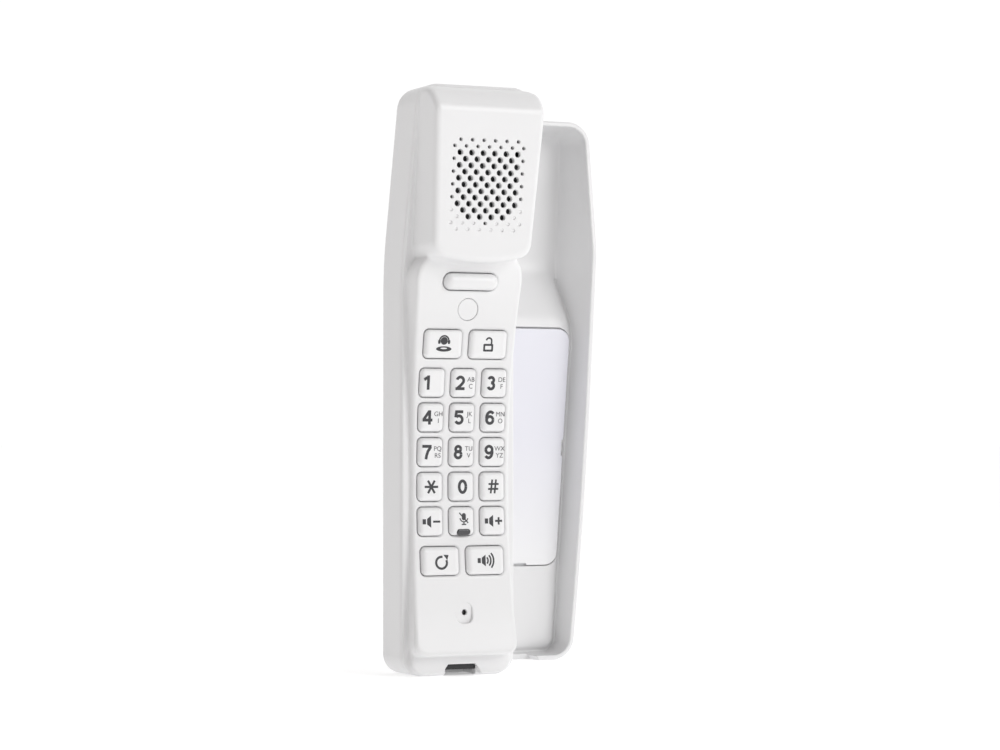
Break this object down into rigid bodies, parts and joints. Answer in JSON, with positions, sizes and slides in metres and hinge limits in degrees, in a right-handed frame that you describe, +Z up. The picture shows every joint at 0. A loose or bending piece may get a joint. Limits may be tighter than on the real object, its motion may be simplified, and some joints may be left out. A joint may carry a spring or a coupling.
{
  "type": "wall telephone",
  "caption": "Slim push-button wall telephone: a banana-shaped corded handset with a keypad in its inner face, and a deep wall base with an earpiece well and a card window.",
  "frame": {"origin": "centre of the box that holds the base and the handset, on the surface that both stand on", "axes": "+Z up, -Y the front of both units, +X to the viewer's right; the handset stands in front and to the left of the base"},
  "size_m": [0.09, 0.0892, 0.2055],
  "materials": {
    "handset_shell": "satin white ABS",
    "base_shell": "satin white ABS",
    "key_caps": "smooth white with printed charcoal legends",
    "smoked_lens": "dark translucent light window",
    "clear_cover": "clear acrylic card cover",
    "card": "plain white card",
    "silicone": "soft silicone",
    "rubber_boot": "black rubber",
    "foam": "open-cell foam",
    "circuit_board": "solder mask",
    "speaker_frame": "moulded black frame",
    "black_plastic": "moulded black",
    "contacts": "gold-plated spring wire",
    "steel": "zinc-plated steel"
  },
  "bodies": {
    "base": {"base_front_shell": "base_shell", "base_rear_cover": "base_shell", "card_insert": "card", "main_board": "circuit_board", "main_board_screws": "steel", "network_jack": "black_plastic", "network_jack_contacts": "contacts", "cord_jack": "black_plastic", "cord_jack_contacts": "contacts", "ringer_speaker": "speaker_frame", "cover_screws": "steel"},
    "card_window": {"window_cover": "clear_cover"},
    "handset": {"handset_rear_shell": "handset_shell", "handset_front_shell": "handset_shell", "receiver_capsule": "speaker_frame", "receiver_gasket": "foam", "keypad_membrane": "silicone", "keypad_board": "circuit_board", "hook_switch": "black_plastic", "microphone": "speaker_frame", "microphone_boot": "rubber_boot", "handset_jack": "black_plastic", "handset_jack_contacts": "contacts", "ballast_weight": "steel", "handset_screw": "steel", "screw_cap": "handset_shell"},
    "hook": {"hook_button": "key_caps"},
    "key_operator_cap": {"key_operator": "key_caps"},
    "key_unlock_cap": {"key_unlock": "key_caps"},
    "key_1_cap": {"key_1": "key_caps"},
    "key_2_cap": {"key_2": "key_caps"},
    "key_3_cap": {"key_3": "key_caps"},
    "key_4_cap": {"key_4": "key_caps"},
    "key_5_cap": {"key_5": "key_caps"},
    "key_6_cap": {"key_6": "key_caps"},
    "key_7_cap": {"key_7": "key_caps"},
    "key_8_cap": {"key_8": "key_caps"},
    "key_9_cap": {"key_9": "key_caps"},
    "key_star_cap": {"key_star": "key_caps"},
    "key_0_cap": {"key_0": "key_caps"},
    "key_hash_cap": {"key_hash": "key_caps"},
    "key_volume_down_cap": {"key_volume_down": "key_caps"},
    "key_mute_cap": {"key_mute": "key_caps", "mute_lens": "smoked_lens"},
    "key_volume_up_cap": {"key_volume_up": "key_caps"},
    "key_redial_cap": {"key_redial": "key_caps"},
    "key_speaker_cap": {"key_speaker": "key_caps"}
  },
  "joints": [
    {"name": "handset_lift_off", "type": "slide", "parent": "base", "child": "handset", "axis": [0, -1, 0], "range_m": [0, 0.12]},
    {"name": "window_cover_lift", "type": "slide", "parent": "base", "child": "card_window", "axis": [0, -0.9909, -0.1349], "range_m": [0, 0.02]},
    {"name": "hook_press", "type": "slide", "parent": "handset", "child": "hook", "axis": [0, 1, 0], "range_m": [0, 0.002], "stiffness_N_per_m": 350},
    {"name": "key_operator_press", "type": "slide", "parent": "handset", "child": "key_operator_cap", "axis": [0, 1, 0], "range_m": [0, 0.001], "stiffness_N_per_m": 500},
    {"name": "key_unlock_press", "type": "slide", "parent": "handset", "child": "key_unlock_cap", "axis": [0, 1, 0], "range_m": [0, 0.001], "stiffness_N_per_m": 500},
    {"name": "key_1_press", "type": "slide", "parent": "handset", "child": "key_1_cap", "axis": [0, 1, 0], "range_m": [0, 0.001], "stiffness_N_per_m": 500},
    {"name": "key_2_press", "type": "slide", "parent": "handset", "child": "key_2_cap", "axis": [0, 1, 0], "range_m": [0, 0.001], "stiffness_N_per_m": 500},
    {"name": "key_3_press", "type": "slide", "parent": "handset", "child": "key_3_cap", "axis": [0, 1, 0], "range_m": [0, 0.001], "stiffness_N_per_m": 500},
    {"name": "key_4_press", "type": "slide", "parent": "handset", "child": "key_4_cap", "axis": [0, 1, 0], "range_m": [0, 0.001], "stiffness_N_per_m": 500},
    {"name": "key_5_press", "type": "slide", "parent": "handset", "child": "key_5_cap", "axis": [0, 1, 0], "range_m": [0, 0.001], "stiffness_N_per_m": 500},
    {"name": "key_6_press", "type": "slide", "parent": "handset", "child": "key_6_cap", "axis": [0, 1, 0], "range_m": [0, 0.001], "stiffness_N_per_m": 500},
    {"name": "key_7_press", "type": "slide", "parent": "handset", "child": "key_7_cap", "axis": [0, 1, 0], "range_m": [0, 0.001], "stiffness_N_per_m": 500},
    {"name": "key_8_press", "type": "slide", "parent": "handset", "child": "key_8_cap", "axis": [0, 1, 0], "range_m": [0, 0.001], "stiffness_N_per_m": 500},
    {"name": "key_9_press", "type": "slide", "parent": "handset", "child": "key_9_cap", "axis": [0, 1, 0], "range_m": [0, 0.001], "stiffness_N_per_m": 500},
    {"name": "key_star_press", "type": "slide", "parent": "handset", "child": "key_star_cap", "axis": [0, 1, 0], "range_m": [0, 0.001], "stiffness_N_per_m": 500},
    {"name": "key_0_press", "type": "slide", "parent": "handset", "child": "key_0_cap", "axis": [0, 1, 0], "range_m": [0, 0.001], "stiffness_N_per_m": 500},
    {"name": "key_hash_press", "type": "slide", "parent": "handset", "child": "key_hash_cap", "axis": [0, 1, 0], "range_m": [0, 0.001], "stiffness_N_per_m": 500},
    {"name": "key_volume_down_press", "type": "slide", "parent": "handset", "child": "key_volume_down_cap", "axis": [0, 1, 0], "range_m": [0, 0.001], "stiffness_N_per_m": 500},
    {"name": "key_mute_press", "type": "slide", "parent": "handset", "child": "key_mute_cap", "axis": [0, 1, 0], "range_m": [0, 0.001], "stiffness_N_per_m": 500},
    {"name": "key_volume_up_press", "type": "slide", "parent": "handset", "child": "key_volume_up_cap", "axis": [0, 1, 0], "range_m": [0, 0.001], "stiffness_N_per_m": 500},
    {"name": "key_redial_press", "type": "slide", "parent": "handset", "child": "key_redial_cap", "axis": [0, 1, 0], "range_m": [0, 0.001], "stiffness_N_per_m": 500},
    {"name": "key_speaker_press", "type": "slide", "parent": "handset", "child": "key_speaker_cap", "axis": [0, 1, 0], "range_m": [0, 0.001], "stiffness_N_per_m": 500}
  ]
}
